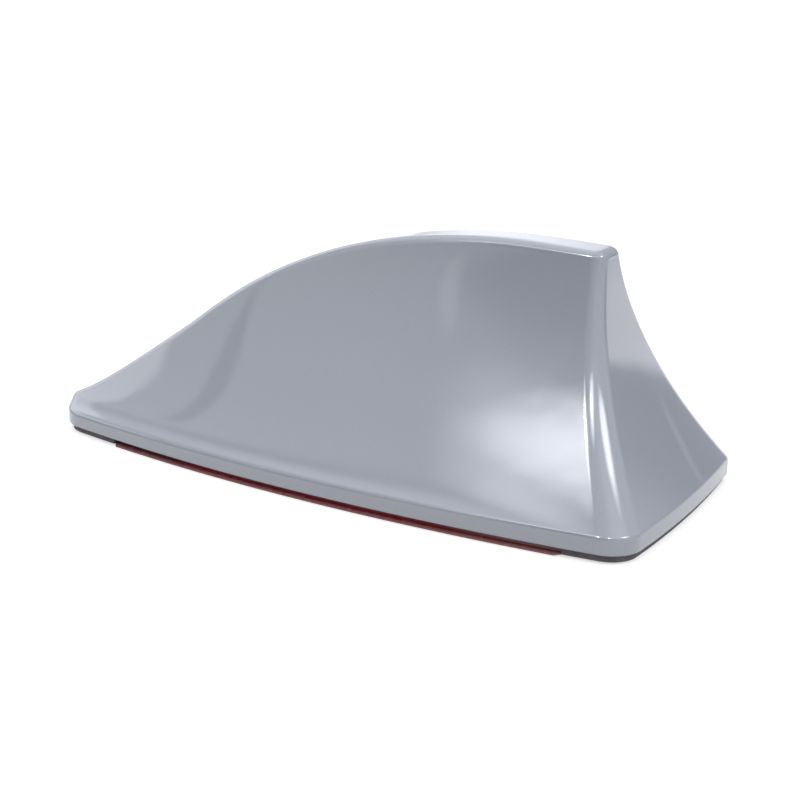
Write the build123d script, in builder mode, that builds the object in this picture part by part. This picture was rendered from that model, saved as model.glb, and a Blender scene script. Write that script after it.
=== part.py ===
import os
from math import atan2, cos, exp, hypot, pi, radians, sin, sqrt, tan

from build123d import *

# Stick-on shark fin roof aerial. Millimetres, nose towards -X, tail towards +X, +Z up.
# Z = 0 is the face that is stuck to the roof, X = Y = 0 is the middle of the footprint.

# Overall size of the fin
length = 170.0
width = 71.0
height = 60.0

# Rim and its outline seen from above; the pads under it are as thick as the stack
pad_stack = 1.8
rim_wall = 3.7
rim_round = 1.5
nose_radius = 12.5
corner_radius = 7.2
side_bow_radius = 520.0
tail_bow_radius = 350.0

# Fin above the rim: what each level narrows to at the crest, and how it flares on the way down
crest_half_width = 4.8
crest_tail_setback = 20.4
crest_corner_radius = 3.2
crest_nose_radius = 3.0
crest_round = 2.2
flank_flare = 1.28
tail_flare = 1.9
corner_flare = 1.5
nose_fade = 3.0
nose_lead_slope = 1.533
nose_knee_height = 4.7
nose_knee_softness = 3.0

# Crest line seen from the side: its start at the nose, its steepest place, its highest place
crest_start_height = 8.1
crest_start_slope = 13.5
crest_start_handle = 8.1
crest_turn_back = 38.6
crest_turn_height = 30.7
crest_turn_slope = 33.9
crest_turn_handle_front = 22.9
crest_turn_handle_rear = 9.9
crest_top_back = 125.3
crest_top_handle_front = 52.4
crest_top_handle_rear = 11.3
crest_tail_drop = 3.4
trim_margin = 5.0
edge_band = 0.01

# Moulding thickness
wall = 2.2
flank_wall = 2.6
roof_wall = 2.8
ledge_height = 3.0
ledge_reach = 2.5

# Base plate
plate_thickness = 2.2
plate_clearance = 0.3
rib_height = 1.6
rib_width = 1.4
rib_spacing = 30.0
rib_front_x = -36.0
rib_rear_x = 68.0
seal_width = 2.6

# Screws that hold the plate to the bosses in the shell
boss_radius = 3.2
boss_front_x = -46.0
boss_front_y = 11.0
boss_rear_x = 60.0
boss_rear_y = 20.0
screw_radius = 1.2
screw_depth = 8.0
screw_head_radius = 2.7
screw_head_height = 1.5
screw_recess = 0.15
screw_clearance = 0.1
pilot_extra_depth = 1.0

# Circuit board on four posts
board_x = 2.0
board_length = 50.0
board_width = 20.0
board_thickness = 1.6
board_corner = 1.5
board_edge = 3.0
post_height = 4.0
post_radius = 2.6
board_screw_radius = 0.9
board_screw_head_radius = 1.8
board_screw_head_height = 1.2
board_screw_depth = 4.5

# Aerial coil, stood on the board by its lower end
coil_x = 17.0
coil_radius = 4.6
coil_pitch = 3.6
coil_turns = 8
coil_wire_radius = 0.6
coil_lift = 3.0
coil_bend_radius = 1.5
coil_tail = 1.0
former_clearance = 0.5
former_wall = 1.0

# Small parts on the board
chip_length = 2.0
chip_width = 1.25
capacitor_height = 1.1
capacitor_count = 5
capacitor_x = -9.0
capacitor_y = 5.5
resistor_height = 0.6
resistor_count = 4
resistor_x = -9.0
resistor_y = -5.5
chip_pitch = 3.6
transistor_length = 2.9
transistor_width = 1.4
transistor_height = 1.1
transistor_count = 2
transistor_x = -9.0
transistor_y = 0.0
transistor_pitch = 9.0
lead_pitch = 1.9
lead_width = 0.45
lead_thickness = 0.15
lead_reach = 0.6
filter_coil_radius = 1.4
filter_wire_radius = 0.3
filter_foot_radius = 0.45
filter_coil_pitch = 0.9
filter_coil_turns = 3
filter_coil_count = 2
filter_coil_x = 3.5
filter_coil_y = 2.5
filter_coil_spacing = 7.0
filter_coil_lift = 2.2
cable_post_radius = 0.5
cable_post_height = 3.5
cable_post_count = 3
cable_post_x = 25.0
cable_post_pitch = 3.0
solder_radius = 1.0
solder_height = 0.9

# Cable outlet in the base plate
outlet_x = 42.0
outlet_radius = 4.5
outlet_clearance = 0.1
outlet_bore_radius = 2.5
grommet_flange = 2.0
grommet_flange_height = 1.2

# Pads under the rim
foam_thickness = 1.6
foam_inset = 1.1
foam_outlet_radius = 7.5
tape_inset = 2.7
tape_width = 6.5
tape_clearance = 0.3
tape_nose_gap = 23.0
tape_tail_gap = 17.0
liner_thickness = 0.2
liner_inset = 0.25
liner_inner_margin = 1.0
liner_end_margin = 2.5
liner_corner = 3.6

# Heights and stations that follow from the sizes above
nose_x = -length / 2
tail_x = length / 2
rim_edge = pad_stack + rim_wall
plate_top = pad_stack + plate_thickness
plate_inset = wall + plate_clearance
ledge_z = pad_stack + ledge_height
inner_start = rim_edge + ledge_reach
board_bottom = plate_top + post_height
board_top = board_bottom + board_thickness
tape_front_x = nose_x + tape_nose_gap
tape_rear_x = tail_x - tape_tail_gap
screw_spots = [
    (boss_front_x, boss_front_y),
    (boss_front_x, -boss_front_y),
    (boss_rear_x, boss_rear_y),
    (boss_rear_x, -boss_rear_y),
]
post_pitch_x = board_length - 2 * board_edge
post_pitch_y = board_width - 2 * board_edge
coil_start = board_top + coil_lift
bend_turn = atan2(2 * pi * coil_radius, coil_pitch)
foot_x = coil_x + coil_radius
foot_y = -coil_bend_radius * (1 - cos(bend_turn))
standing = (Align.CENTER, Align.CENTER, Align.MIN)
hanging = (Align.CENTER, Align.CENTER, Align.MAX)

# Levels of the lofted fin as shares of the climb, closest where the nose turns fastest
section_shares = (0, 0.01, 0.02, 0.045, 0.08, 0.13, 0.2, 0.3, 0.42, 0.55, 0.68, 0.8, 0.9, 1.0, 1.1)

os.makedirs("parts", exist_ok=True)


def rise(z):
    # Share of the climb from the rim edge to the crest
    return min(max((z - rim_edge) / (height - rim_edge), 0), 1)


def half_width(z):
    return crest_half_width + (width / 2 - crest_half_width) * (1 - rise(z)) ** flank_flare


def rear_x(z):
    return tail_x - crest_tail_setback * (1 - (1 - rise(z)) ** tail_flare)


def corner_round(z):
    return crest_corner_radius + (corner_radius - crest_corner_radius) * (1 - rise(z)) ** corner_flare


def nose_round(z):
    fade = exp(-max(z - rim_edge, 0) / nose_fade)
    return crest_nose_radius + (nose_radius - crest_nose_radius) * fade


def knee(above):
    # Upright near the rim, then leaning back at a steady slope
    past = above - nose_knee_height
    return nose_lead_slope * (past + hypot(past, nose_knee_softness)) / 2


def nose_tip(z):
    return nose_x + knee(max(z - rim_edge, 0)) - knee(0)


def bow_centre(nose_x, nose_reach, corner_x, corner_y, bow):
    # Centre of the side arc: inside the nose circle's reach and one bow radius from the rear corner
    dx = corner_x - nose_x
    span = hypot(dx, corner_y)
    along = (nose_reach**2 - bow**2 + span**2) / (2 * span)
    across = sqrt(nose_reach**2 - along**2)
    return nose_x + (along * dx + across * corner_y) / span, (along * corner_y - across * dx) / span


def fin_outline(z, inset=0.0):
    # Plan outline of the fin at height z: round nose, bowed sides, bowed tail, round rear corners
    least_round = 0.3
    half = half_width(z) - inset
    rear = rear_x(z) - inset
    tip = nose_tip(z) + inset
    nose = max(nose_round(z) - inset, least_round)
    bow = side_bow_radius - inset
    corner_x = rear - tail_bow_radius + sqrt(tail_bow_radius**2 - half**2)
    centre_x, centre_y = bow_centre(tip + nose, bow - nose, corner_x, half, bow)
    front_angle = atan2(-centre_y, tip + nose - centre_x)
    middle_angle = (front_angle + atan2(half - centre_y, corner_x - centre_x)) / 2
    front = Vector(centre_x + bow * cos(front_angle), centre_y + bow * sin(front_angle))
    middle = Vector(centre_x + bow * cos(middle_angle), centre_y + bow * sin(middle_angle))
    corner = Vector(corner_x, half)
    with BuildSketch(Plane.XY.offset(z)) as outline:
        with BuildLine():
            ThreePointArc((front.X, -front.Y), (tip, 0), front)
            ThreePointArc(front, middle, corner)
            ThreePointArc(corner, (rear, 0), (corner.X, -corner.Y))
            ThreePointArc((corner.X, -corner.Y), (middle.X, -middle.Y), (front.X, -front.Y))
        make_face()
        rear_corners = outline.vertices().group_by(Axis.X)[-1]
        fillet(rear_corners, max(corner_round(z) - inset, least_round))
    return outline.sketch


def fin_sections(start, inset):
    # Outlines from the start height up past the crest
    return [fin_outline(start + share * (height - start), inset) for share in section_shares]


def crest_profile(drop=0.0):
    # Side view of all that lies above the crest line, on a plane beside the fin
    ceiling = 2 * height
    start = Vector(nose_x, crest_start_height - drop)
    turn = Vector(nose_x + crest_turn_back, crest_turn_height - drop)
    top = Vector(nose_x + crest_top_back, height - drop)
    end = Vector(tail_x + trim_margin, height - crest_tail_drop - drop)
    lead = Vector(1, tan(radians(crest_start_slope))).normalized()
    climb = Vector(1, tan(radians(crest_turn_slope))).normalized()
    ahead = start - lead * trim_margin
    with BuildSketch(Plane.XZ.offset(-width)) as profile:
        with BuildLine():
            Bezier(start, start + lead * crest_start_handle, turn - climb * crest_turn_handle_front, turn)
            Bezier(turn, turn + climb * crest_turn_handle_rear, top - (crest_top_handle_front, 0), top)
            Bezier(top, top + (crest_top_handle_rear, 0), end)
            Polyline(end, (end.X, ceiling), (ahead.X, ceiling), ahead, start)
        make_face()
    return profile.sketch


def rim_band(z, thickness, outer_inset, inner_inset, front_x, rear_x, side):
    # Strip that follows one side of the rim between two insets
    with BuildPart() as band:
        extrude(fin_outline(z, outer_inset), amount=thickness)
        extrude(fin_outline(z, inner_inset), amount=thickness, mode=Mode.SUBTRACT)
        with Locations((front_x, 0, z)):
            Box(
                rear_x - front_x,
                width,
                thickness,
                align=(Align.MIN, Align.MIN if side > 0 else Align.MAX, Align.MIN),
                mode=Mode.INTERSECT,
            )
    return band.part


# Outer form of the fin: upright rim wall, flared sections cut by the crest line, rounded edges
with BuildPart() as outer_form:
    loft(fin_sections(rim_edge, 0))
    extrude(fin_outline(pad_stack), amount=rim_wall)
    extrude(crest_profile(), amount=2 * width, mode=Mode.SUBTRACT)
    fillet(outer_form.faces().filter_by(GeomType.EXTRUSION).edges(), crest_round)
    rim_edges = outer_form.edges().filter_by_position(Axis.Z, rim_edge - edge_band, rim_edge + edge_band)
    fillet(rim_edges, rim_round)

# Space inside the fin, less the screw bosses that hang from its roof
with BuildPart() as cavity:
    loft(fin_sections(inner_start, flank_wall))
    extrude(fin_outline(inner_start, flank_wall), amount=ledge_z - inner_start)
    extrude(crest_profile(roof_wall), amount=2 * width, mode=Mode.SUBTRACT)
    extrude(fin_outline(pad_stack, wall), amount=ledge_height)
    with Locations(*[(x, y, plate_top) for x, y in screw_spots]):
        Cylinder(boss_radius, height, align=standing, mode=Mode.SUBTRACT)

with BuildPart() as fin_shell:
    add(outer_form.part)
    add(cavity.part, mode=Mode.SUBTRACT)
    with Locations(*[(x, y, plate_top) for x, y in screw_spots]):
        Cylinder(
            screw_radius + screw_clearance / 2,
            screw_depth + pilot_extra_depth,
            align=standing,
            mode=Mode.SUBTRACT,
        )

fin_shell.part.label = "fin_shell"
export_step(fin_shell.part, "parts/fin_shell.step")

# Base plate with board posts, stiffening ribs, screw holes and the cable outlet
with BuildPart() as base_plate:
    extrude(fin_outline(pad_stack, plate_inset), amount=plate_thickness)
    with Locations(((rib_front_x + rib_rear_x) / 2, 0, plate_top)):
        with GridLocations(0, rib_spacing, 1, 2):
            Box(rib_rear_x - rib_front_x, rib_width, rib_height, align=standing)
    with Locations((board_x, 0, plate_top)):
        with GridLocations(post_pitch_x, post_pitch_y, 2, 2):
            Cylinder(post_radius, post_height, align=standing)
    with Locations((board_x, 0, board_bottom)):
        with GridLocations(post_pitch_x, post_pitch_y, 2, 2):
            Cylinder(
                board_screw_radius + screw_clearance / 2,
                board_screw_depth - board_thickness + pilot_extra_depth,
                align=hanging,
                mode=Mode.SUBTRACT,
            )
    with Locations((outlet_x, 0, pad_stack)):
        Cylinder(outlet_radius, plate_thickness, align=standing, mode=Mode.SUBTRACT)
    with Locations(*[(x, y, pad_stack) for x, y in screw_spots]):
        Cylinder(screw_radius + screw_clearance, plate_thickness, align=standing, mode=Mode.SUBTRACT)
        Cylinder(screw_head_radius + screw_clearance, screw_recess, align=standing, mode=Mode.SUBTRACT)
    with Locations(*[(x, y, pad_stack + screw_recess) for x, y in screw_spots]):
        Cone(
            screw_head_radius + screw_clearance,
            screw_radius + screw_clearance,
            screw_head_height,
            align=standing,
            mode=Mode.SUBTRACT,
        )

base_plate.part.label = "base_plate"
export_step(base_plate.part, "parts/base_plate.step")

# Countersunk screws, driven up into the bosses
with BuildPart() as base_screws:
    with Locations(*[(x, y, pad_stack + screw_recess) for x, y in screw_spots]):
        Cone(screw_head_radius, screw_radius, screw_head_height, align=standing)
        Cylinder(screw_radius, plate_thickness - screw_recess + screw_depth, align=standing)

base_screws.part.label = "base_screws"
export_step(base_screws.part, "parts/base_screws.step")

# Rubber seal squeezed between the plate and the ledge of the shell
with BuildPart() as base_seal:
    extrude(fin_outline(plate_top, plate_inset), amount=ledge_z - plate_top)
    seal_inner = fin_outline(plate_top, plate_inset + seal_width)
    extrude(seal_inner, amount=ledge_z - plate_top, mode=Mode.SUBTRACT)

base_seal.part.label = "base_seal"
export_step(base_seal.part, "parts/base_seal.step")

# Rubber grommet of the cable outlet, flush with the underside of the plate
with BuildPart() as cable_grommet:
    with Locations((outlet_x, 0, pad_stack)):
        Cylinder(outlet_radius - outlet_clearance, plate_thickness, align=standing)
    with Locations((outlet_x, 0, plate_top)):
        Cylinder(outlet_radius + grommet_flange, grommet_flange_height, align=standing)
    fillet(cable_grommet.edges().filter_by(GeomType.CIRCLE).sort_by(Axis.Z)[-1], grommet_flange_height / 2)
    with Locations((outlet_x, 0, pad_stack)):
        Cylinder(
            outlet_bore_radius,
            plate_thickness + grommet_flange_height,
            align=standing,
            mode=Mode.SUBTRACT,
        )

cable_grommet.part.label = "cable_grommet"
export_step(cable_grommet.part, "parts/cable_grommet.step")

# Circuit board
with BuildPart() as circuit_board:
    with BuildSketch(Plane.XY.offset(board_bottom)):
        with Locations((board_x, 0)):
            RectangleRounded(board_length, board_width, board_corner)
            with GridLocations(post_pitch_x, post_pitch_y, 2, 2):
                Circle(board_screw_radius + screw_clearance, mode=Mode.SUBTRACT)
        with Locations((foot_x, foot_y)):
            Circle(coil_wire_radius + screw_clearance, mode=Mode.SUBTRACT)
    extrude(amount=board_thickness)

circuit_board.part.label = "circuit_board"
export_step(circuit_board.part, "parts/circuit_board.step")

# Pan head screws of the board
with BuildPart() as board_screws:
    with Locations((board_x, 0, board_top)):
        with GridLocations(post_pitch_x, post_pitch_y, 2, 2):
            Cylinder(board_screw_head_radius, board_screw_head_height, align=standing)
    fillet(board_screws.edges().group_by(Axis.Z)[-1], board_screw_head_height / 2)
    with Locations((board_x, 0, board_top)):
        with GridLocations(post_pitch_x, post_pitch_y, 2, 2):
            Cylinder(board_screw_radius, board_screw_depth, align=hanging)

board_screws.part.label = "board_screws"
export_step(board_screws.part, "parts/board_screws.step")

# Aerial coil: a straight foot through the board, a bend, then the turns
bend_start = Vector(foot_x, foot_y, coil_start - coil_bend_radius * sin(bend_turn))
bend_middle = bend_start + Vector(0, 1 - cos(bend_turn / 2), sin(bend_turn / 2)) * coil_bend_radius
with BuildPart() as aerial_coil:
    with BuildLine() as coil_path:
        Line((foot_x, foot_y, board_bottom - coil_tail), bend_start)
        ThreePointArc(bend_start, bend_middle, (foot_x, 0, coil_start))
        Helix(coil_pitch, coil_pitch * coil_turns, coil_radius, center=(coil_x, 0, coil_start))
    with BuildSketch(Plane(origin=coil_path.line @ 0, z_dir=coil_path.line % 0)):
        Circle(coil_wire_radius)
    sweep(is_frenet=True)

aerial_coil.part.label = "aerial_coil"
export_step(aerial_coil.part, "parts/aerial_coil.step")

# Plastic tube inside the turns, which keeps them upright
with BuildPart() as coil_former:
    former_radius = coil_radius - coil_wire_radius - former_clearance
    former_height = coil_lift + coil_pitch * coil_turns
    with Locations((coil_x, 0, board_top)):
        Cylinder(former_radius, former_height, align=standing)
        Cylinder(former_radius - former_wall, former_height, align=standing, mode=Mode.SUBTRACT)

coil_former.part.label = "coil_former"
export_step(coil_former.part, "parts/coil_former.step")

# Chip capacitors and resistors in two rows
with BuildPart() as chip_capacitors:
    with Locations((capacitor_x, capacitor_y, board_top)):
        with GridLocations(chip_pitch, 0, capacitor_count, 1):
            Box(chip_width, chip_length, capacitor_height, align=standing)

chip_capacitors.part.label = "chip_capacitors"
export_step(chip_capacitors.part, "parts/chip_capacitors.step")

with BuildPart() as chip_resistors:
    with Locations((resistor_x, resistor_y, board_top)):
        with GridLocations(chip_pitch, 0, resistor_count, 1):
            Box(chip_width, chip_length, resistor_height, align=standing)

chip_resistors.part.label = "chip_resistors"
export_step(chip_resistors.part, "parts/chip_resistors.step")

# Amplifier transistors: a body that stands on three bent leads
with BuildPart() as amplifier_transistors:
    with Locations((transistor_x, transistor_y, board_top + lead_thickness)):
        with GridLocations(transistor_pitch, 0, transistor_count, 1):
            Box(transistor_length, transistor_width, transistor_height, align=standing)
    with Locations((transistor_x, transistor_y, board_top)):
        with GridLocations(transistor_pitch, 0, transistor_count, 1):
            with Locations(
                (-lead_pitch / 2, transistor_width / 2),
                (lead_pitch / 2, transistor_width / 2),
                (0, -transistor_width / 2),
            ):
                Box(lead_width, 2 * lead_reach, lead_thickness, align=standing)

amplifier_transistors.part.label = "amplifier_transistors"
export_step(amplifier_transistors.part, "parts/amplifier_transistors.step")

# Small wound coils of the filter, each lying between two short lugs
with BuildPart() as filter_coils:
    span = filter_coil_pitch * filter_coil_turns
    for place in GridLocations(0, filter_coil_spacing, 1, filter_coil_count):
        rear_end = (
            filter_coil_x + span / 2,
            filter_coil_y + place.position.Y,
            board_top + filter_coil_lift,
        )
        with BuildLine() as turns:
            Helix(filter_coil_pitch, span, filter_coil_radius, center=rear_end, direction=(-1, 0, 0))
        with BuildSketch(Plane(origin=turns.line @ 0, z_dir=turns.line % 0)):
            Circle(filter_wire_radius)
        sweep(path=turns.line, is_frenet=True)
        for end in (turns.line @ 0, turns.line @ 1):
            with Locations((end.X, end.Y, board_top)):
                Cylinder(filter_foot_radius, end.Z - board_top + filter_foot_radius, align=standing)

filter_coils.part.label = "filter_coils"
export_step(filter_coils.part, "parts/filter_coils.step")

# Pins that the cable's wires are soldered to
with BuildPart() as cable_posts:
    with Locations((cable_post_x, 0, board_top)):
        with GridLocations(0, cable_post_pitch, 1, cable_post_count):
            Cylinder(cable_post_radius, cable_post_height, align=standing)
    fillet(cable_posts.edges().group_by(Axis.Z)[-1], cable_post_radius / 2)

cable_posts.part.label = "cable_posts"
export_step(cable_posts.part, "parts/cable_posts.step")

# Solder cone round the foot of the aerial coil
with BuildPart() as coil_solder:
    with Locations((foot_x, foot_y, board_top)):
        Cone(solder_radius, coil_wire_radius + screw_clearance, solder_height, align=standing)
        Cylinder(coil_wire_radius + screw_clearance / 2, solder_height, align=standing, mode=Mode.SUBTRACT)

coil_solder.part.label = "coil_solder"
export_step(coil_solder.part, "parts/coil_solder.step")

# Foam pad under the plate and the rim, notched at both sides for the tape
foam_bottom = pad_stack - foam_thickness
tape_inner = tape_inset + tape_width
with BuildPart() as foam_pad:
    extrude(fin_outline(foam_bottom, foam_inset), amount=foam_thickness)
    for side in (1, -1):
        notch = rim_band(
            foam_bottom,
            foam_thickness,
            0,
            tape_inner + tape_clearance,
            tape_front_x - tape_clearance,
            tape_rear_x + tape_clearance,
            side,
        )
        add(notch, mode=Mode.SUBTRACT)
    with Locations((outlet_x, 0, foam_bottom)):
        Cylinder(foam_outlet_radius, foam_thickness, align=standing, mode=Mode.SUBTRACT)

foam_pad.part.label = "foam_pad"
export_step(foam_pad.part, "parts/foam_pad.step")

# Double sided tape along both sides, and the release liner that still covers it;
# left is the left of someone who faces the way the nose points
for name, side in (("left", -1), ("right", 1)):
    with BuildPart() as tape:
        add(
            rim_band(
                liner_thickness,
                pad_stack - liner_thickness,
                tape_inset,
                tape_inner,
                tape_front_x,
                tape_rear_x,
                side,
            )
        )
    tape.part.label = f"tape_{name}"
    export_step(tape.part, f"parts/tape_{name}.step")

    with BuildPart() as liner:
        add(
            rim_band(
                0,
                liner_thickness,
                liner_inset,
                tape_inner + liner_inner_margin,
                tape_front_x - liner_end_margin,
                tape_rear_x + liner_end_margin,
                side,
            )
        )
        uprights = liner.edges().filter_by(Axis.Z).group_by(Axis.X)
        outermost = -1 if side > 0 else 0
        outer_corners = [ends.sort_by(Axis.Y)[outermost] for ends in (uprights[0], uprights[-1])]
        chamfer(outer_corners, liner_corner)
    liner.part.label = f"liner_{name}"
    export_step(liner.part, f"parts/liner_{name}.step")
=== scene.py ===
import math
from functools import partial

import bmesh
import bpy
import numpy as np
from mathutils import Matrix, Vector


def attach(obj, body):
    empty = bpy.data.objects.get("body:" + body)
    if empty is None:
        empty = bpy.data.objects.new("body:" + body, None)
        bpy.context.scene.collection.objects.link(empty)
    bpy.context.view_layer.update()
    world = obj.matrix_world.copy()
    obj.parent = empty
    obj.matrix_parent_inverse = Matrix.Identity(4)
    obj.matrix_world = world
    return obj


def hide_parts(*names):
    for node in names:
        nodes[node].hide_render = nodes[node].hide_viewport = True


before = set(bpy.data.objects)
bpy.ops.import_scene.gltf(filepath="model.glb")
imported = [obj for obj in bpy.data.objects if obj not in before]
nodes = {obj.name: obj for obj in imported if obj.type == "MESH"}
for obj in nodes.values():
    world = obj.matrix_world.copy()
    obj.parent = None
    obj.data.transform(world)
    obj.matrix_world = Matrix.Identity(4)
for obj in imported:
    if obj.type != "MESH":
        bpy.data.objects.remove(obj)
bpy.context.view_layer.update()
scene = bpy.context.scene
scene.view_settings.view_transform = "Standard"
mm = 0.001   # millimetres to metres
print("frame loaded,", len(nodes), "nodes")


# sizes of the fin in millimetres, the same as in the solid
fin = {
    "length": 170.0, "width": 71.0, "height": 60.0,
    "padStack": 1.8, "rimWall": 3.7, "rimRound": 1.5,
    "noseRadius": 12.5, "cornerRadius": 7.2, "sideBow": 520.0, "tailBow": 350.0,
    "crestHalf": 4.8, "tailSetback": 20.4, "crestCorner": 3.2, "crestNose": 3.0, "crestRound": 2.2,
    "flankFlare": 1.28, "tailFlare": 1.9, "cornerFlare": 1.5, "noseFade": 3.0,
    "leadSlope": 1.533, "kneeHeight": 4.7, "kneeSoft": 3.0,
    "crestStart": 8.1, "crestStartSlope": 13.5, "crestStartHandle": 8.1,
    "turnBack": 38.6, "turnHeight": 30.7, "turnSlope": 33.9, "turnFront": 22.9, "turnRear": 9.9,
    "topBack": 125.3, "topFront": 52.4, "topRear": 11.3, "tailDrop": 3.4, "trim": 5.0,
    "wall": 2.2, "flankWall": 2.6, "roofWall": 2.8, "ledge": 3.0, "ledgeReach": 2.5,
    "edgeBreak": 0.35, "leastRound": 0.3,
    # from here on the density of the mesh: columns round the fin, then rows up its wall and across its roof
    "noseSteps": 22, "sideSteps": 190, "cornerSteps": 22, "tailSteps": 30, "crestSamples": 900, "sideSamples": 2000,
    "flankRows": 46, "innerRows": 10, "breakRows": 6, "roundedRows": 4,
    "rimRows": (2.4, 3.2, 4.0, 4.5, 4.8, 5.0, 5.15, 5.3),
    "footBand": (1.0, 0.25), "topBand": (3.2, 0.55),   # at most so many mm, and at most that share of the wall
    "footShares": (0, 0.12, 0.28, 0.46, 0.7),
    "topShares": (0.86, 0.72, 0.6, 0.5, 0.4, 0.31, 0.23, 0.16, 0.1, 0.05, 0),
    "roofShares": (0.05, 0.1, 0.17, 0.25, 0.34, 0.44, 0.55, 0.67, 0.8, 0.9, 1.0),
    "innerRoofShares": (0.35, 0.7, 1.0),
    "roofStart": 5.0,   # how far behind its front end the roof strip's middle line begins
}
rimEdge = fin["padStack"] + fin["rimWall"]


def crestLine():
    # side view of the crest as a fine polyline
    def curve(*knots):
        t = np.linspace(0, 1, fin["crestSamples"])[:, None]
        pts = [np.repeat(np.array(k, float)[None], len(t), 0) for k in knots]
        while len(pts) > 1:
            pts = [a * (1 - t) + b * t for a, b in zip(pts[:-1], pts[1:])]
        return pts[0]

    def heading(degrees):
        return np.array([math.cos(math.radians(degrees)), math.sin(math.radians(degrees))])

    noseX = -fin["length"] / 2
    start = np.array([noseX, fin["crestStart"]])
    turn = np.array([noseX + fin["turnBack"], fin["turnHeight"]])
    top = np.array([noseX + fin["topBack"], fin["height"]])
    end = np.array([fin["length"] / 2 + fin["trim"], fin["height"] - fin["tailDrop"]])
    lead, climb = heading(fin["crestStartSlope"]), heading(fin["turnSlope"])
    return np.vstack([
        start - lead * fin["trim"],
        curve(start, start + lead * fin["crestStartHandle"], turn - climb * fin["turnFront"], turn),
        curve(turn, turn + climb * fin["turnRear"], top - [fin["topFront"], 0], top)[1:],
        curve(top, top + [fin["topRear"], 0], end)[1:],
    ])


crestPoints = crestLine()


def crestHeight(x):
    return np.interp(x, crestPoints[:, 0], crestPoints[:, 1])


def knee(above):
    # how far the lead edge has gone back at a height above the rim, with a soft bend where it starts to lean
    past = above - fin["kneeHeight"]
    return fin["leadSlope"] * (past + np.hypot(past, fin["kneeSoft"])) / 2


def outlineAt(z, inset=0.0):
    # centres and radii of the arcs of the plan outline at height z
    left = 1 - np.minimum((z - rimEdge) / (fin["height"] - rimEdge), 1.0)
    half = fin["crestHalf"] + (fin["width"] / 2 - fin["crestHalf"]) * left ** fin["flankFlare"] - inset
    rear = fin["length"] / 2 - fin["tailSetback"] * (1 - left ** fin["tailFlare"]) - inset
    corner = fin["crestCorner"] + (fin["cornerRadius"] - fin["crestCorner"]) * left ** fin["cornerFlare"]
    corner = np.maximum(corner - inset, fin["leastRound"])
    nose = fin["crestNose"] + (fin["noseRadius"] - fin["crestNose"]) * np.exp(-(z - rimEdge) / fin["noseFade"])
    nose = np.maximum(nose - inset, fin["leastRound"])
    tip = -fin["length"] / 2 + knee(z - rimEdge) - knee(0.0) + inset
    bow, tailBow = fin["sideBow"] - inset, fin["tailBow"]
    cornerX = rear - tailBow + np.sqrt(tailBow**2 - half**2)
    noseX = tip + nose
    reach, dx = bow - nose, cornerX - noseX
    span = np.hypot(dx, half)
    along = (reach**2 - bow**2 + span**2) / (2 * span)
    across = np.sqrt(reach**2 - along**2)
    bowX = noseX + (along * dx + across * half) / span
    bowY = (along * half - across * dx) / span
    tailX = rear - tailBow
    ra, rb = bow - corner, tailBow - corner   # corner circle touches the side arc and the tail arc from inside
    ex, ey = tailX - bowX, -bowY
    gap = np.hypot(ex, ey)
    a = (ra**2 - rb**2 + gap**2) / (2 * gap)
    h = np.sqrt(np.maximum(ra**2 - a**2, 0))
    filletX = bowX + (a * ex + h * ey) / gap
    filletY = bowY + (a * ey - h * ex) / gap
    return {"noseX": noseX, "nose": nose, "bowX": bowX, "bowY": bowY, "bow": bow, "tailX": tailX,
            "tailBow": tailBow, "filletX": filletX, "filletY": filletY, "corner": corner}


def outlineGap(p, z):
    # distance of points from the outline at height z, positive outside
    x, y = p[:, 0], np.abs(p[:, 1])
    o = outlineAt(z)
    sx, sy = x - o["bowX"], y - o["bowY"]
    tx, ty = x - o["tailX"], y
    atNose = (o["noseX"] - o["bowX"]) * sy + o["bowY"] * sx > 0
    pastSide = (o["filletX"] - o["bowX"]) * sy - (o["filletY"] - o["bowY"]) * sx < 0
    atTail = (o["filletX"] - o["tailX"]) * ty - o["filletY"] * tx < 0
    rear = np.where(atTail, np.hypot(tx, ty) - o["tailBow"],
                    np.hypot(x - o["filletX"], y - o["filletY"]) - o["corner"])
    side = np.where(pastSide, rear, np.hypot(sx, sy) - o["bow"])
    return np.where(atNose, np.hypot(x - o["noseX"], y) - o["nose"], side)


def gapAndNormal(measure, p, step=0.02):
    # true distance and normal from the slope of a measure
    slope = np.zeros_like(p)
    for axis in range(3):
        shift = np.zeros(3)
        shift[axis] = step
        slope[:, axis] = (measure(p + shift) - measure(p - shift)) / (2 * step)
    size = np.linalg.norm(slope, axis=1)
    return measure(p) / size, slope / size[:, None]


def roundedMeet(a, na, b, nb, radius):
    # two surfaces joined by a rolling ball of that radius
    c = np.clip((na * nb).sum(1), -0.999, 0.9995)
    da, db = a + radius, b + radius
    inBall = (da > db * c) & (db > da * c)
    sineSquared = 1 - c * c
    reach = np.sqrt(np.maximum(da * da + db * db - 2 * da * db * c, 1e-12) / sineSquared)
    shareA, shareB = (da - db * c) / sineSquared / reach, (db - da * c) / sineSquared / reach
    ballNormal = shareA[:, None] * na + shareB[:, None] * nb
    normal = np.where(inBall[:, None], ballNormal, np.where((a > b)[:, None], na, nb))
    gap = np.where(inBall, reach - radius, np.maximum(a, b))
    return gap, normal / np.linalg.norm(normal, axis=1)[:, None]


def finGap(p):
    # distance and normal of points from the finished outer face
    flank, flankN = gapAndNormal(lambda q: outlineGap(q, q[:, 2]), p)
    wall, wallN = gapAndNormal(lambda q: outlineGap(q, np.full(len(q), rimEdge)), p)
    crest, crestN = gapAndNormal(lambda q: q[:, 2] - crestHeight(q[:, 0]), p, step=0.2)
    side, sideN = roundedMeet(flank, flankN, wall, wallN, fin["rimRound"])
    return roundedMeet(side, sideN, crest, crestN, fin["crestRound"])


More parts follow.
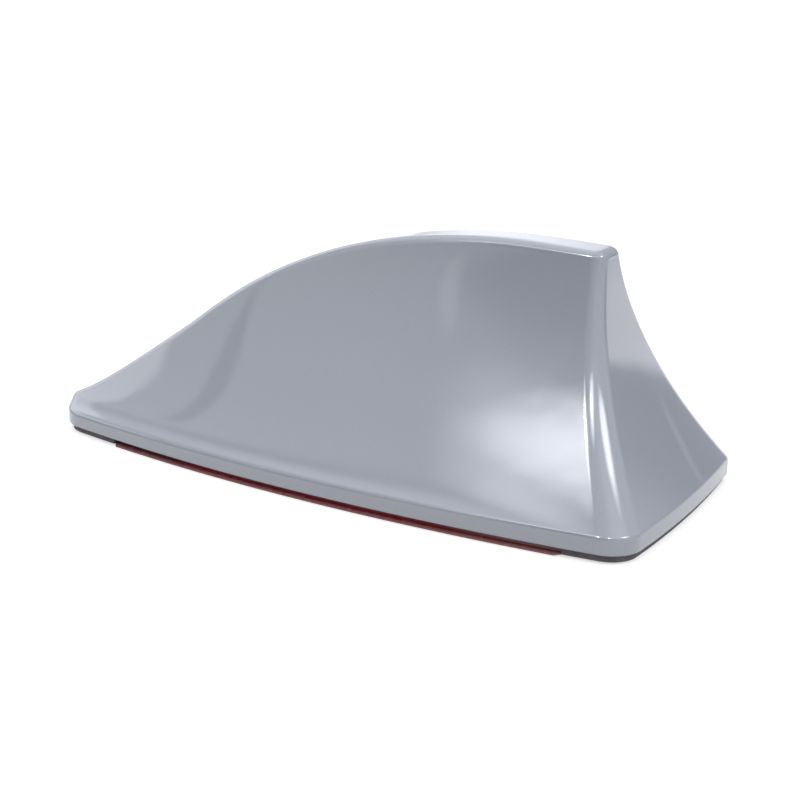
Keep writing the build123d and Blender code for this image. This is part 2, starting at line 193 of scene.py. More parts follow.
def arcColumn(kind, share, z, inset=0.0):
    # one place on the nose, corner or tail arc, followed up through the heights z
    o = outlineAt(z, inset)
    if kind == "nose":
        last = np.pi - np.arctan2(-o["bowY"], o["noseX"] - o["bowX"])
        turn = np.pi - share * last
        return o["noseX"] + o["nose"] * np.cos(turn), o["nose"] * np.sin(turn)
    sideTurn = np.arctan2(o["filletY"] - o["bowY"], o["filletX"] - o["bowX"])
    tailTurn = np.arctan2(o["filletY"], o["filletX"] - o["tailX"])
    if kind == "corner":
        turn = sideTurn + share * (tailTurn - sideTurn)
        return o["filletX"] + o["corner"] * np.cos(turn), o["filletY"] + o["corner"] * np.sin(turn)
    turn = tailTurn * (1 - share)
    return o["tailX"] + o["tailBow"] * np.cos(turn), o["tailBow"] * np.sin(turn)


def cutHeight(kind, share, inset, drop, halvings=60):
    # height at which a column runs into the crest
    low, high = np.array(rimEdge), np.array(fin["height"] + 1.0)
    for _ in range(halvings):
        middle = (low + high) / 2
        x = arcColumn(kind, share, middle, inset)[0]
        if middle < crestHeight(x) - drop:
            low = middle
        else:
            high = middle
    return float(low)


def flankY(x, z, inset=0.0):
    # half width of the fin at x and z, ahead of its rear corner
    o = outlineAt(z, inset)
    side = o["bowY"] + np.sqrt(o["bow"] ** 2 - (x - o["bowX"]) ** 2)
    front = np.sqrt(np.maximum(o["nose"] ** 2 - (x - o["noseX"]) ** 2, 0))
    touch = o["bowX"] + (o["noseX"] - o["bowX"]) * o["bow"] / (o["bow"] - o["nose"])
    return np.where(x < touch, front, side)


def rowHeights(low, high, rows):
    # rows from low to high, closer together near both ends
    tall = high - low
    bottom, top = (min(most, share * tall) for most, share in (fin["footBand"], fin["topBand"]))
    return np.concatenate([
        low + bottom * np.array(fin["footShares"]),
        np.linspace(low + bottom, high - top, rows),
        high - top * np.array(fin["topShares"]),
    ])


def halfColumns(inset, drop, start, rows):
    # columns from the nose tip along one side to the middle of the tail, each a run of points up to the crest
    columns = []

    def addArc(kind, shares):
        for share in shares:
            z = rowHeights(start, cutHeight(kind, share, inset, drop), rows)
            x, y = arcColumn(kind, share, z, inset)
            columns.append(np.stack([x, y, z], 1))

    def sideFront(z):
        return arcColumn("nose", 1.0, np.array(z), inset)[0]

    def sideRear(z):
        return arcColumn("corner", 0.0, np.array(z), inset)[0]

    def even(x, z):
        # the same run along the side, cut into equal steps
        pts = np.stack([x, flankY(x, z, inset), z], 1)
        run = np.concatenate([[0], np.cumsum(np.linalg.norm(np.diff(pts, axis=0), axis=1))])
        return np.interp(np.linspace(0, run[-1], fin["sideSteps"] + 1), run, x)

    addArc("nose", np.linspace(0, 1, fin["noseSteps"] + 1))
    frontTop, rearTop = cutHeight("nose", 1.0, inset, drop), cutHeight("corner", 0.0, inset, drop)
    frontX, rearX = sideFront(frontTop), sideRear(rearTop)
    lowFront, lowRear = sideFront(start), sideRear(start)
    samples = fin["sideSamples"]
    lowX, topX = np.linspace(lowFront, lowRear, samples), np.linspace(frontX, rearX, samples)
    lowX = even(lowX, np.full(samples, start))
    topX = even(topX, crestHeight(topX) - drop)
    for i in range(1, fin["sideSteps"]):
        s = i / fin["sideSteps"]
        topZ = float(crestHeight(topX[i]) - drop)
        z = rowHeights(start, topZ, rows)
        v = (z - start) / (topZ - start)
        frontZ, rearZ = start + v * (frontTop - start), start + v * (rearTop - start)
        bendFront = sideFront(frontZ) - (lowFront + v * (frontX - lowFront))
        bendRear = sideRear(rearZ) - (lowRear + v * (rearX - lowRear))
        x = lowX[i] + v * (topX[i] - lowX[i]) + (1 - s) * bendFront + s * bendRear
        columns.append(np.stack([x, flankY(x, z, inset), z], 1))
    addArc("corner", np.linspace(0, 1, fin["cornerSteps"] + 1))
    addArc("tail", np.linspace(0, 1, fin["tailSteps"] + 1)[1:])
    return np.array(columns)


def roofRows(edge, drop, shares):
    # rows from the crest edge in to the middle line of the strip
    front, rear = edge[0, 0], edge[-1, 0]
    widest = edge[:, 1].max()
    targetX = np.clip(edge[:, 0], front + fin["roofStart"], rear - widest)
    rows = []
    for share in shares:
        x = edge[:, 0] + share * (targetX - edge[:, 0])
        y = edge[:, 1] * (1 - share)
        rows.append(np.stack([x, y, crestHeight(x) - drop], 1))
    return rows


def settle(points, passes=8):
    # points drawn onto the finished outer face
    for _ in range(passes):
        gap, normal = finGap(points)
        points = points - gap[:, None] * normal
    return points


def atHeight(ring, z):
    ring = ring.copy()
    ring[:, 2] = z
    return ring


def shellRows():
    # half rings from the outer foot up over the crest, and from the inner foot up to the roof
    outer = halfColumns(0.0, 0.0, rimEdge, fin["flankRows"])
    foot = outer[:, 0, :].copy()
    inward = -gapAndNormal(lambda q: outlineGap(q, np.full(len(q), rimEdge)), foot)[1]
    breaks = [(fin["edgeBreak"] * (1 - math.sin(t)), fin["padStack"] + fin["edgeBreak"] * (1 - math.cos(t)))
              for t in np.linspace(0, math.pi / 2, fin["breakRows"])]
    rings = [atHeight(foot + inward * inset, z) for inset, z in breaks + [(0, z) for z in fin["rimRows"]]]
    plainRows = len(rings) - fin["roundedRows"]
    rings += [outer[:, k, :] for k in range(outer.shape[1])]
    rings += roofRows(outer[:, -1, :], 0.0, fin["roofShares"])
    rings = rings[:plainRows] + [settle(ring) for ring in rings[plainRows:]]

    ledgeZ = fin["padStack"] + fin["ledge"]
    inner = halfColumns(fin["flankWall"], fin["roofWall"], rimEdge + fin["ledgeReach"], fin["innerRows"])
    lip = foot + inward * fin["wall"]
    insideRings = [atHeight(lip, fin["padStack"]), atHeight(lip, ledgeZ), atHeight(inner[:, 0, :], ledgeZ)]
    insideRings += [inner[:, k, :] for k in range(inner.shape[1])]
    insideRings += roofRows(inner[:, -1, :], fin["roofWall"], fin["innerRoofShares"])
    return rings, insideRings


def smoothMesh(name, verts, faces, material, sharp=40, merge=2e-6, sliver=1e-7):
    mesh = bpy.data.meshes.new(name)
    mesh.from_pydata(verts, [], faces)
    work = bmesh.new()
    work.from_mesh(mesh)
    bmesh.ops.remove_doubles(work, verts=work.verts, dist=merge)
    bmesh.ops.dissolve_degenerate(work, edges=work.edges, dist=sliver)
    bmesh.ops.recalc_face_normals(work, faces=work.faces)
    for face in work.faces:
        face.smooth = True
    for edge in work.edges:
        edge.smooth = len(edge.link_faces) != 2 or edge.calc_face_angle(0) < math.radians(sharp)
    work.to_mesh(mesh)
    work.free()
    mesh.materials.append(material)
    piece = bpy.data.objects.new(name, mesh)
    scene.collection.objects.link(piece)
    return piece


def ringFaces(rings, offset):
    # quads between each ring and the next
    count = len(rings[0])
    faces = []
    for k in range(len(rings) - 1):
        here, above = offset + k * count, offset + (k + 1) * count
        for i in range(count):
            j = (i + 1) % count
            faces.append((here + i, here + j, above + j, above + i))
    return faces


def wholeRing(half):
    # mirrors a half ring about the middle plane; tip and tail middle are shared
    other = half[1:-1][::-1] * np.array([1, -1, 1])
    return np.vstack([half, other])


bosses = {"spots": ((-46.0, 11.0), (60.0, 20.0)), "radius": 3.2, "pilot": 1.25, "pilotDepth": 9.0,
          "foot": 4.0, "searchFrom": 6.0, "underSkin": 1.2, "sides": 40}


def bossMesh(x, y, halvings=40):
    # screw boss that hangs from the roof of the shell, drawn into the wall
    turn = np.linspace(0, 2 * np.pi, bosses["sides"], endpoint=False)
    circle = np.stack([np.cos(turn), np.sin(turn)], 1)
    rim = np.zeros((len(turn), 3))
    rim[:, :2] = (x, y) + circle * bosses["radius"]
    low, high = np.full(len(turn), bosses["searchFrom"]), np.full(len(turn), fin["height"])
    for _ in range(halvings):
        rim[:, 2] = (low + high) / 2
        inside = finGap(rim)[0] < -bosses["underSkin"]
        low, high = np.where(inside, rim[:, 2], low), np.where(inside, high, rim[:, 2])
    rim[:, 2] = low
    foot = atHeight(rim, bosses["foot"])
    hole = foot.copy()
    hole[:, :2] = (x, y) + circle * bosses["pilot"]
    deep = hole + [0, 0, bosses["pilotDepth"]]
    return [rim, foot, hole, deep]


def buildShell(material):
    outerHalf, innerHalf = shellRows()
    rings = [wholeRing(half) for half in innerHalf[::-1] + outerHalf]
    verts = [tuple(v) for v in np.vstack(rings) * mm]
    faces = ringFaces(rings, 0)
    count = bosses["sides"]
    for x, y in bosses["spots"]:
        for side in (1, -1):
            boss = bossMesh(x, y * side)
            base = len(verts)
            verts += [tuple(v) for v in np.vstack(boss) * mm]
            faces += ringFaces(boss, base)
            faces.append(tuple(range(base, base + count)))
            faces.append(tuple(range(base + 3 * count, base + 4 * count)))   # end of the pilot hole
    return smoothMesh("finSkin", verts, faces, material)


# materials
def newMaterial(name):
    material = bpy.data.materials.new(name)
    material.use_nodes = True
    tree = material.node_tree
    return material, tree, tree.nodes["Principled BSDF"]


def feed(tree, socket, value):
    # a link where the value is a socket, and otherwise the plain value
    if isinstance(value, bpy.types.NodeSocket):
        tree.links.new(value, socket)
    else:
        socket.default_value = value


def calc(tree, operation, *values):
    node = tree.nodes.new("ShaderNodeMath")
    node.operation = operation
    for socket, value in zip(node.inputs, values):
        feed(tree, socket, value)
    return node.outputs[0]


def vectorCalc(tree, operation, *values):
    node = tree.nodes.new("ShaderNodeVectorMath")
    node.operation = operation
    for socket, value in zip(node.inputs, values):
        feed(tree, socket, value)
    return node.outputs["Value" if operation in ("LENGTH", "DOT_PRODUCT") else "Vector"]


def remap(tree, value, low, high, start=0.0, end=1.0, kind="LINEAR"):
    # goes from start to end while the value goes from low to high
    node = tree.nodes.new("ShaderNodeMapRange")
    node.interpolation_type = kind
    for key, number in (("From Min", low), ("From Max", high), ("To Min", start), ("To Max", end)):
        node.inputs[key].default_value = number
    tree.links.new(value, node.inputs["Value"])
    return node.outputs["Result"]


def objectCoords(tree):
    return tree.nodes.new("ShaderNodeTexCoord").outputs["Object"]


def splitCoords(tree, vector):
    node = tree.nodes.new("ShaderNodeSeparateXYZ")
    tree.links.new(vector, node.inputs["Vector"])
    return node.outputs


def noise(tree, vector, scale, detail=2.0, rough=0.5):
    node = tree.nodes.new("ShaderNodeTexNoise")
    node.inputs["Scale"].default_value = scale
    node.inputs["Detail"].default_value = detail
    node.inputs["Roughness"].default_value = rough
    tree.links.new(vector, node.inputs["Vector"])
    return node.outputs["Fac"]


noiseSpan = (0.3, 0.7)   # the stretch of the noise that the tones and the roughness run over


def spread(tree, value, low, high):
    return remap(tree, value, *noiseSpan, low, high)


def tones(tree, value, dark, light):
    node = tree.nodes.new("ShaderNodeValToRGB")
    for element, position, colour in zip(node.color_ramp.elements, noiseSpan, (dark, light)):
        element.position = position
        element.color = (*colour, 1)
    tree.links.new(value, node.inputs["Fac"])
    return node.outputs["Color"]


def bump(tree, value, strength, distance):
    node = tree.nodes.new("ShaderNodeBump")
    node.inputs["Strength"].default_value = strength
    node.inputs["Distance"].default_value = distance
    tree.links.new(value, node.inputs["Height"])
    return node.outputs["Normal"]


paint = {"dark": (0.23, 0.243, 0.273), "light": (0.248, 0.262, 0.294), "rough": (0.34, 0.4),
         "coatIor": 1.9, "coatRough": 0.025, "cloud": 14.0,
         "flake": 5200.0, "flakeBump": 0.03, "flakeDepth": 0.00002,
         "wave": 80.0, "waveBump": 0.5, "waveDepth": 0.00008}


def makePaint():
    # gloss grey paint: fine flake in the base, clear coat with a faint wave on top
    material, tree, shader = newMaterial("glossGreyPaint")
    vector = objectCoords(tree)
    flake = noise(tree, vector, paint["flake"], detail=1.0)
    cloud = noise(tree, vector, paint["cloud"], detail=3.0)
    wave = noise(tree, vector, paint["wave"], detail=1.5)
    tree.links.new(tones(tree, flake, paint["dark"], paint["light"]), shader.inputs["Base Color"])
    tree.links.new(spread(tree, cloud, *paint["rough"]), shader.inputs["Roughness"])
    tree.links.new(bump(tree, flake, paint["flakeBump"], paint["flakeDepth"]), shader.inputs["Normal"])
    tree.links.new(bump(tree, wave, paint["waveBump"], paint["waveDepth"]), shader.inputs["Coat Normal"])
    shader.inputs["Specular IOR Level"].default_value = 0.0
    shader.inputs["Coat Weight"].default_value = 1.0
    shader.inputs["Coat Roughness"].default_value = paint["coatRough"]
    shader.inputs["Coat IOR"].default_value = paint["coatIor"]
    return material


# finish of the other pieces: dark and light tone, roughness, grain size, bump depth in metres, metal share
finishes = {
    "basePlastic": ((0.022, 0.022, 0.024), (0.034, 0.034, 0.036), (0.5, 0.62), 1400.0, 0.00006, 0.0),
    "zincSteel": ((0.46, 0.46, 0.45), (0.62, 0.62, 0.6), (0.25, 0.4), 900.0, 0.00001, 1.0),
    "sealRubber": ((0.014, 0.014, 0.015), (0.024, 0.024, 0.025), (0.6, 0.75), 800.0, 0.00005, 0.0),
    "boardGreen": ((0.012, 0.1, 0.035), (0.02, 0.15, 0.055), (0.3, 0.42), 500.0, 0.00002, 0.0),
    "brassWire": ((0.56, 0.31, 0.14), (0.68, 0.4, 0.19), (0.2, 0.32), 700.0, 0.00001, 1.0),
    "formerPlastic": ((0.56, 0.54, 0.48), (0.66, 0.64, 0.58), (0.45, 0.55), 600.0, 0.00003, 0.0),
    "chipTan": ((0.34, 0.22, 0.11), (0.44, 0.3, 0.16), (0.45, 0.6), 1500.0, 0.00001, 0.0),
    "chipBlack": ((0.012, 0.012, 0.012), (0.024, 0.024, 0.024), (0.4, 0.55), 1500.0, 0.00001, 0.0),
    "tinned": ((0.58, 0.58, 0.57), (0.72, 0.72, 0.71), (0.2, 0.34), 900.0, 0.00001, 1.0),
    "foamBlack": ((0.098, 0.083, 0.09), (0.132, 0.113, 0.122), (0.85, 0.95), 3200.0, 0.00018, 0.0),
    "tapeMaroon": ((0.3, 0.018, 0.03), (0.42, 0.03, 0.045), (0.55, 0.7), 900.0, 0.00006, 0.0),
}
grain = {"detail": 3.0, "rough": 0.6, "patch": 0.08, "bump": 0.4}   # shared by these finishes and the liner


def blend(tree, value, low, high, first, second):
    # the first colour gives way to the second while the value goes from low to high
    mix = tree.nodes.new("ShaderNodeMix")
    mix.data_type = "RGBA"
    tree.links.new(remap(tree, value, low, high), mix.inputs["Factor"])
    for key, colour in (("A", first), ("B", second)):
        socket = next(i for i in mix.inputs if i.name == key and i.type == "RGBA")
        feed(tree, socket, (*colour, 1) if isinstance(colour, tuple) else colour)
    return next(o for o in mix.outputs if o.type == "RGBA")


# painted shade and painted reflection on the tape: its red is shaded darker at its front end and paled by a painted
# reflection at its rear end: X where it starts, X where it is full, colour
tapeEndShading = [(-0.033, -0.041, (0.13, 0.024, 0.035)), (0.036, 0.06, (0.36, 0.17, 0.155))]


def makeFinish(name):
    dark, light, rough, scale, depth, metal = finishes[name]
    material, tree, shader = newMaterial(name)
    vector = objectCoords(tree)
    fine = noise(tree, vector, scale, grain["detail"], grain["rough"])
    colour = tones(tree, noise(tree, vector, scale * grain["patch"]), dark, light)
    if name == "tapeMaroon":
        x = splitCoords(tree, vector)["X"]
        # painted shade darkens the front end, a painted reflection pales the rear end
        for clear, full, tone in tapeEndShading:
            colour = blend(tree, x, clear, full, colour, tone)
    tree.links.new(colour, shader.inputs["Base Color"])
    tree.links.new(spread(tree, fine, *rough), shader.inputs["Roughness"])
    tree.links.new(bump(tree, fine, grain["bump"], depth), shader.inputs["Normal"])
    shader.inputs["Metallic"].default_value = metal
    return material


# colours of the film, with its painted reflection and painted shade, and in metres where the paler painted reflection
# on its edge and the painted shade on its cut edge lie
linerFilm = {"edge": (0.36, 0.165, 0.165), "middle": (0.3, 0.02, 0.032), "cut": (0.13, 0.075, 0.07),
             "sheenWidth": 0.0013, "cutStart": 0.00032, "cutFull": 0.00028,
             "rough": (0.2, 0.32), "crinkle": 120.0, "crinkleDepth": 0.00003}


def makeLiner():
    # red film: a painted reflection makes it paler where it stands out past the tape, and painted shade makes it dark
    # on its cut edge
    material, tree, shader = newMaterial("linerRed")
    vector = objectCoords(tree)
    arc = outlineAt(np.array(rimEdge))
    rim = float(arc["bow"]) * mm
    tapeEdge = rim - rimStrips["tape"]["outer"] * mm
    across = vectorCalc(tree, "MULTIPLY", vectorCalc(tree, "ABSOLUTE", vector), (0, 1, 0))   # both sides alike
    flatSpot = vectorCalc(tree, "ADD", across, vectorCalc(tree, "MULTIPLY", vector, (1, 0, 0)))
    bowCentre = (float(arc["bowX"]) * mm, float(arc["bowY"]) * mm, 0)
    reach = vectorCalc(tree, "LENGTH", vectorCalc(tree, "SUBTRACT", flatSpot, bowCentre))
    # painted reflection: paler colour where the film stands out past the tape
    film = blend(tree, reach, tapeEdge, tapeEdge + linerFilm["sheenWidth"], linerFilm["middle"], linerFilm["edge"])
    # painted shade: dark colour on the film's cut edge
    colour = blend(tree, reach, rim - linerFilm["cutStart"], rim - linerFilm["cutFull"], film, linerFilm["cut"])
    tree.links.new(colour, shader.inputs["Base Color"])
    crinkle = noise(tree, vector, linerFilm["crinkle"], grain["detail"], grain["rough"])
    tree.links.new(spread(tree, crinkle, *linerFilm["rough"]), shader.inputs["Roughness"])
    tree.links.new(bump(tree, crinkle, grain["bump"], linerFilm["crinkleDepth"]), shader.inputs["Normal"])
    return material


# what the solids that keep their own mesh wear
wears = {
    "base_plate": "basePlastic", "base_screws": "zincSteel", "base_seal": "sealRubber",
    "cable_grommet": "sealRubber", "circuit_board": "boardGreen", "board_screws": "zincSteel",
    "aerial_coil": "brassWire", "coil_former": "formerPlastic", "chip_capacitors": "chipTan",
    "chip_resistors": "chipBlack", "amplifier_transistors": "chipBlack",
    "filter_coils": "brassWire", "cable_posts": "tinned", "coil_solder": "tinned", "foam_pad": "foamBlack",
}
made = {}
for node, finish in wears.items():
    if finish not in made:
        made[finish] = makeFinish(finish)
    for slot in nodes[node].material_slots:
        slot.material = made[finish]
print("materials on", len(wears), "nodes")

shell = buildShell(makePaint())
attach(shell, "root")
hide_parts("fin_shell")
print("shell skin,", len(shell.data.vertices), "vertices,", len(shell.data.polygons), "faces")


# tape and release liner: flat strips that follow the bowed side of the rim, sizes in millimetres
rimStrips = {
    "tape": {"outer": 2.7, "inner": 9.2, "front": -62.0, "rear": 68.0, "bottom": 0.2, "thick": 1.6, "corner": 0.0,
             "steps": 130, "rows": 9, "finish": "tapeMaroon", "slot": "tape"},
    "liner": {"outer": 0.25, "inner": 10.2, "front": -64.5, "rear": 70.5, "bottom": 0.0, "thick": 0.2, "corner": 3.6,
              "steps": 150, "rows": 13, "finish": "linerRed", "slot": "liner_film"},
}


def buildStripTree():
    # a grid is bent onto the side arc, its outer corners are cut, and it is thickened into a closed strip
    tree = bpy.data.node_groups.new("rimStrip", "GeometryNodeTree")
    kinds = {name: "NodeSocketFloat" for name in (
        "Outer Inset", "Inner Inset", "Front", "Rear", "Bottom", "Thickness", "Corner",
        "Bow Radius", "Bow X", "Bow Y", "Side")}
    kinds.update({"Steps": "NodeSocketInt", "Rows": "NodeSocketInt", "Material": "NodeSocketMaterial"})
    sockets = {name: tree.interface.new_socket(name=name, in_out="INPUT", socket_type=kind).identifier
               for name, kind in kinds.items()}
    tree.interface.new_socket(name="Geometry", in_out="OUTPUT", socket_type="NodeSocketGeometry")
    given = tree.nodes.new("NodeGroupInput").outputs
    do = partial(calc, tree)

    def node(kind, **inputs):
        fresh = tree.nodes.new(kind)
        for name, value in inputs.items():
            feed(tree, fresh.inputs[name.replace("_", " ")], value)
        return fresh

    grid = node("GeometryNodeMeshGrid", Size_X=1.0, Size_Y=1.0,
                Vertices_X=given["Steps"], Vertices_Y=given["Rows"]).outputs["Mesh"]
    place = node("ShaderNodeSeparateXYZ", Vector=tree.nodes.new("GeometryNodeInputPosition").outputs[0]).outputs
    u, v = do("ADD", place["X"], 0.5), do("ADD", place["Y"], 0.5)
    x = do("MULTIPLY_ADD", u, do("SUBTRACT", given["Rear"], given["Front"]), given["Front"])
    toEnd = do("MINIMUM", do("SUBTRACT", x, given["Front"]), do("SUBTRACT", given["Rear"], x))
    outer = do("ADD", given["Outer Inset"], do("MAXIMUM", do("SUBTRACT", given["Corner"], toEnd), 0.0))
    inset = do("MULTIPLY_ADD", v, do("SUBTRACT", outer, given["Inner Inset"]), given["Inner Inset"])
    radius = do("SUBTRACT", given["Bow Radius"], inset)
    reach = do("SUBTRACT", x, given["Bow X"])
    rise = do("SQRT", do("SUBTRACT", do("MULTIPLY", radius, radius), do("MULTIPLY", reach, reach)))
    y = do("MULTIPLY", do("ADD", given["Bow Y"], rise), given["Side"])
    spot = node("ShaderNodeCombineXYZ", X=x, Y=y, Z=given["Bottom"]).outputs[0]
    sheet = node("GeometryNodeSetPosition", Geometry=grid, Position=spot).outputs[0]
    upward = node("ShaderNodeCombineXYZ", Z=1.0).outputs[0]   # linked, because an unlinked offset follows the normals
    thick = node("GeometryNodeExtrudeMesh", Mesh=sheet, Offset=upward,
                 Offset_Scale=given["Thickness"], Individual=False).outputs["Mesh"]
    under = node("GeometryNodeFlipFaces", Mesh=sheet).outputs[0]
    both = tree.nodes.new("GeometryNodeJoinGeometry")
    for part in (thick, under):
        tree.links.new(part, both.inputs[0])
    closed = node("GeometryNodeMergeByDistance", Geometry=both.outputs[0], Distance=1e-6).outputs[0]
    mirrored = do("LESS_THAN", given["Side"], 0.0)
    facing = node("GeometryNodeFlipFaces", Mesh=closed, Selection=mirrored).outputs[0]
    real = node("GeometryNodeRealizeInstances", Geometry=facing).outputs[0]
    dressed = node("GeometryNodeSetMaterial", Geometry=real, Material=given["Material"]).outputs[0]
    tree.links.new(dressed, tree.nodes.new("NodeGroupOutput").inputs[0])
    return tree, sockets


def buildStrip(kind, hand, side, tree, sockets):
    size = rimStrips[kind]
    arc = outlineAt(np.array(rimEdge))
    name = kind + hand.title()
    strip = bpy.data.objects.new(name, bpy.data.meshes.new(name))
    scene.collection.objects.link(strip)
    shaper = strip.modifiers.new("rimStrip", "NODES")
    shaper.node_group = tree
    values = {"Outer Inset": size["outer"], "Inner Inset": size["inner"],
              "Front": size["front"], "Rear": size["rear"],
              "Bottom": size["bottom"], "Thickness": size["thick"], "Corner": size["corner"],
              "Bow Radius": float(arc["bow"]), "Bow X": float(arc["bowX"]), "Bow Y": float(arc["bowY"])}
    for socket, value in values.items():
        shaper[sockets[socket]] = value * mm
    shaper[sockets["Side"]] = float(side)
    shaper[sockets["Steps"]], shaper[sockets["Rows"]] = size["steps"] + 1, size["rows"]
    shaper[sockets["Material"]] = made[size["finish"]]
    shaped = strip.evaluated_get(bpy.context.evaluated_depsgraph_get())
    plain = bpy.data.meshes.new_from_object(shaped)
    strip.modifiers.remove(shaper)
    strip.data = plain
    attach(strip, "root")
    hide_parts(kind + "_" + hand)
    return strip


stripTree, stripSockets = buildStripTree()
for kind, size in rimStrips.items():
    made[size["finish"]] = makeLiner() if kind == "liner" else makeFinish(size["finish"])
    for hand, side in (("left", -1), ("right", 1)):
        strip = buildStrip(kind, hand, side, stripTree, stripSockets)
        print(strip.name, len(strip.data.polygons), "faces")


def direction(azimuth, elevation):
    # unit vector away from the part; azimuth 0 is its left side
    a, e = math.radians(azimuth), math.radians(elevation)
    return Vector((math.sin(a) * math.cos(e), -math.cos(a) * math.cos(e), math.sin(e)))


# camera at the photograph's viewing angle
shot = {"place": (0.195524, -0.344145, 0.126865), "azimuth": 28.094, "elevation": 15.621,
        "lens": 76.5, "sensor": 36.0, "clip": (0.01, 60.0)}
lens = bpy.data.cameras.new("camera")
lens.lens, lens.sensor_width, lens.sensor_fit = shot["lens"], shot["sensor"], "HORIZONTAL"
lens.clip_start, lens.clip_end = shot["clip"]
camera = bpy.data.objects.new("camera", lens)
scene.collection.objects.link(camera)
camera.location = shot["place"]
camera.rotation_mode = "QUATERNION"
camera.rotation_quaternion = (-direction(shot["azimuth"], shot["elevation"])).to_track_quat("-Z", "Y")
scene.camera = camera


# studio: soft dome with brighter sides and ceiling, dark strip low on the left wall, backdrop behind the floor
# heights are sines of the elevation, and a range is where a change starts and where it is full
studio = {"tint": (0.965, 0.98, 1.04), "front": 0.62, "darkest": 0.02,
          "side": 0.5, "sideRange": (0.35, 0.8), "ceiling": 0.55, "ceilingRange": (0.66, 0.82),
          "bandAzimuth": -68.0, "bandRange": (0.75, 0.92), "bandShare": 0.9,
          "bandFoot": 0.02, "bandTop": 0.18, "bandSoft": 0.03,
          "horizon": 0.031, "horizonSoft": 0.016, "backdrop": 1.42, "backdropRange": (0.0, 0.4),
          "lampRange": (0.0, 0.2)}
# soft lamps, small bright sparks and pale cards on the dome, and gaps that are darker than it
lampsOfDome = [   # azimuth, elevation, half length, half width, tilt of the long axis in degrees, soft edge, strength
    ("lampLeft", -26.6, 44.9, 8.75, 1.5, 29.6, 0.99, 6.1),
    ("lampHaze", -39.6, 42.8, 5.7, 3.76, 86.0, 0.99, 2.1),
    ("coreLeft", -21.5, 46.0, 5.1, 2.0, 10.6, 0.44, 4.2),
    ("sparkLeft", -22.5, 45.8, 1.4, 1.0, 10.0, 0.6, 110.0),
    ("lampMiddle", 22.0, 53.6, 8.5, 2.3, -5.0, 0.68, 6.1),
    ("sparkMiddle", 20.0, 53.6, 1.4, 1.0, 0.0, 0.6, 110.0),
    ("lampRight", 85.8, 48.1, 12.1, 4.8, -24.7, 0.45, 5.6),
    ("sparkRight", 88.0, 49.0, 1.4, 1.0, 0.0, 0.6, 110.0),
    ("cardLeft", -88.6, 16.8, 45.0, 13.0, -31.2, 0.055, 0.9),
    ("cardBack", -154.0, 30.0, 9.0, 26.0, 0.0, 0.3, 1.15),
    ("gapLeft", -64.0, 23.42, 14.0, 0.95, -41.1, 0.35, -0.45),
    ("gapFront", -20.0, 28.0, 12.0, 12.0, 0.0, 0.3, -0.42),
    ("gapFoot", -76.0, 41.0, 22.0, 5.0, 19.0, 0.8, -0.42),
    ("gapCorner", 125.0, 6.0, 11.0, 8.0, 0.0, 0.4, -0.8),
    ("gapTail", 153.0, 6.5, 14.0, 5.0, 0.0, 0.6, -0.34),
    ("stripFront", -34.4, 23.9, 6.9, 1.04, -58.3, 0.4, 0.39),
    ("cardTail", 158.6, 6.6, 0.35, 2.2, 0.0, 0.9, 0.3),
]


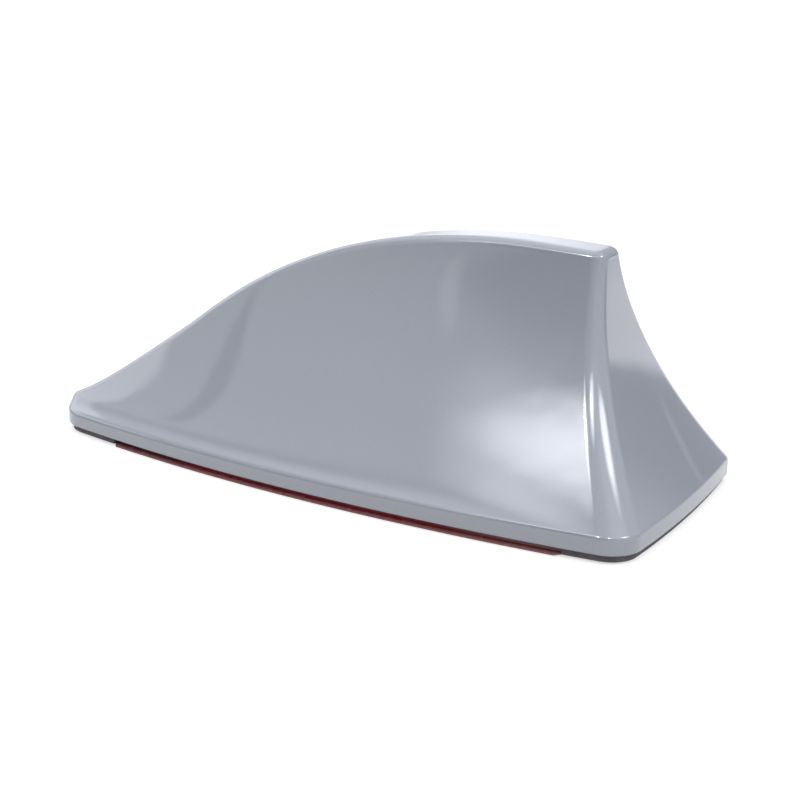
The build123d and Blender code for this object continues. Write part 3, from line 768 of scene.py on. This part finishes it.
def buildDome():
    world = bpy.data.worlds.new("studioDome")
    scene.world = world
    world.use_nodes = True
    tree = world.node_tree
    back = tree.nodes["Background"]
    do = partial(calc, tree)
    ray = vectorCalc(tree, "NORMALIZE", tree.nodes.new("ShaderNodeTexCoord").outputs["Generated"])

    def ramp(value, low, high, end=1.0, start=0.0):
        return remap(tree, value, low, high, start, end, "SMOOTHSTEP")

    def along(axis):
        return vectorCalc(tree, "DOT_PRODUCT", ray, axis)

    def below(value, limit, soft):
        return do("SUBTRACT", 1.0, ramp(value, limit - soft, limit + soft))

    height = along((0, 0, 1))
    flat = do("SQRT", do("MAXIMUM", do("SUBTRACT", 1.0, do("POWER", height, 2.0)), 1e-4))   # never 0
    sideways = do("DIVIDE", do("ABSOLUTE", along((1, 0, 0))), flat)
    total = do("ADD", ramp(sideways, *studio["sideRange"], studio["side"]), studio["front"])
    total = do("ADD", total, ramp(height, *studio["ceilingRange"], studio["ceiling"]))
    for name, azimuth, elevation, halfLength, halfWidth, tilt, soft, strength in lampsOfDome:
        centre = direction(azimuth, elevation)
        level = direction(azimuth + 90, 0)
        rise = level.cross(centre)
        if rise.z < 0:
            rise = -rise
        t = math.radians(tilt)
        longAxis = level * math.cos(t) + rise * math.sin(t)
        shortAxis = rise * math.cos(t) - level * math.sin(t)
        depth = do("MAXIMUM", along(centre), 0.01)
        u = do("DIVIDE", do("DIVIDE", along(longAxis), depth), math.tan(math.radians(halfLength)))
        v = do("DIVIDE", do("DIVIDE", along(shortAxis), depth), math.tan(math.radians(halfWidth)))
        away = do("SQRT", do("ADD", do("POWER", u, 2.0), do("POWER", v, 2.0)))
        patch = ramp(away, 1.0 - soft, 1.0 + soft, 0.0, strength)
        patch.node.label = name
        total = do("ADD", total, do("MULTIPLY", patch, ramp(along(centre), *studio["lampRange"])))
    # dark strip low on the left wall, and the backdrop rising a little behind the floor
    facing = do("DIVIDE", along(direction(studio["bandAzimuth"], 0)), flat)
    band = do("MULTIPLY", ramp(facing, *studio["bandRange"], studio["bandShare"]),
              ramp(height, -studio["bandFoot"], studio["bandFoot"]))
    band = do("MULTIPLY", band, below(height, studio["bandTop"], studio["bandSoft"]))
    total = do("MULTIPLY", do("MAXIMUM", total, studio["darkest"]), do("SUBTRACT", 1.0, band))
    behind = ramp(do("DIVIDE", along((0, 1, 0)), flat), *studio["backdropRange"])
    low = do("MULTIPLY", below(height, studio["horizon"], studio["horizonSoft"]), behind)
    rest = do("MULTIPLY", total, do("SUBTRACT", 1.0, low))
    total = do("ADD", rest, do("MULTIPLY", low, studio["backdrop"]))
    back.inputs["Color"].default_value = (*studio["tint"], 1)
    tree.links.new(total, back.inputs["Strength"])


# pale floor: how much it glows for the camera, and for reflections far off and in the pool round the part
floorLook = {"radius": 9.0, "segments": 96, "drop": 0.0002, "colour": 0.5, "rough": 0.9,
             "glowTint": (0.97, 0.98, 1.0), "seen": 0.58, "mirrored": 0.1, "pool": 0.5,
             "poolRange": (0.24, 0.14), "backRange": (0.2, 0.5)}


def buildFloor():
    work = bmesh.new()
    bmesh.ops.create_circle(work, cap_ends=True, segments=floorLook["segments"], radius=floorLook["radius"])
    mesh = bpy.data.meshes.new("floor")
    work.to_mesh(mesh)
    work.free()
    floor = bpy.data.objects.new("floor", mesh)
    floor.location.z = -floorLook["drop"]
    scene.collection.objects.link(floor)
    material, tree, shader = newMaterial("paleFloor")
    neutral = (floorLook["colour"] / t for t in studio["tint"])   # looks grey under the dome's tint
    shader.inputs["Base Color"].default_value = (*neutral, 1)
    shader.inputs["Roughness"].default_value = floorLook["rough"]
    shader.inputs["Specular IOR Level"].default_value = 0.0
    path = tree.nodes.new("ShaderNodeLightPath").outputs
    mirrored = calc(tree, "MAXIMUM", path["Is Glossy Ray"], path["Is Transmission Ray"])
    seen = calc(tree, "MULTIPLY", path["Is Camera Ray"], floorLook["seen"])
    # reflections see more light in a pool round the part and towards the backdrop
    spot = objectCoords(tree)
    near = remap(tree, vectorCalc(tree, "LENGTH", spot), *floorLook["poolRange"])
    behind = remap(tree, splitCoords(tree, spot)["Y"], *floorLook["backRange"])
    pool = calc(tree, "MAXIMUM", near, behind)
    level = calc(tree, "MULTIPLY_ADD", pool, floorLook["pool"], floorLook["mirrored"])
    glow = calc(tree, "MULTIPLY_ADD", mirrored, level, seen)
    shader.inputs["Emission Color"].default_value = (*floorLook["glowTint"], 1)
    tree.links.new(glow, shader.inputs["Emission Strength"])
    mesh.materials.append(material)


buildDome()
buildFloor()
print("studio and camera set")
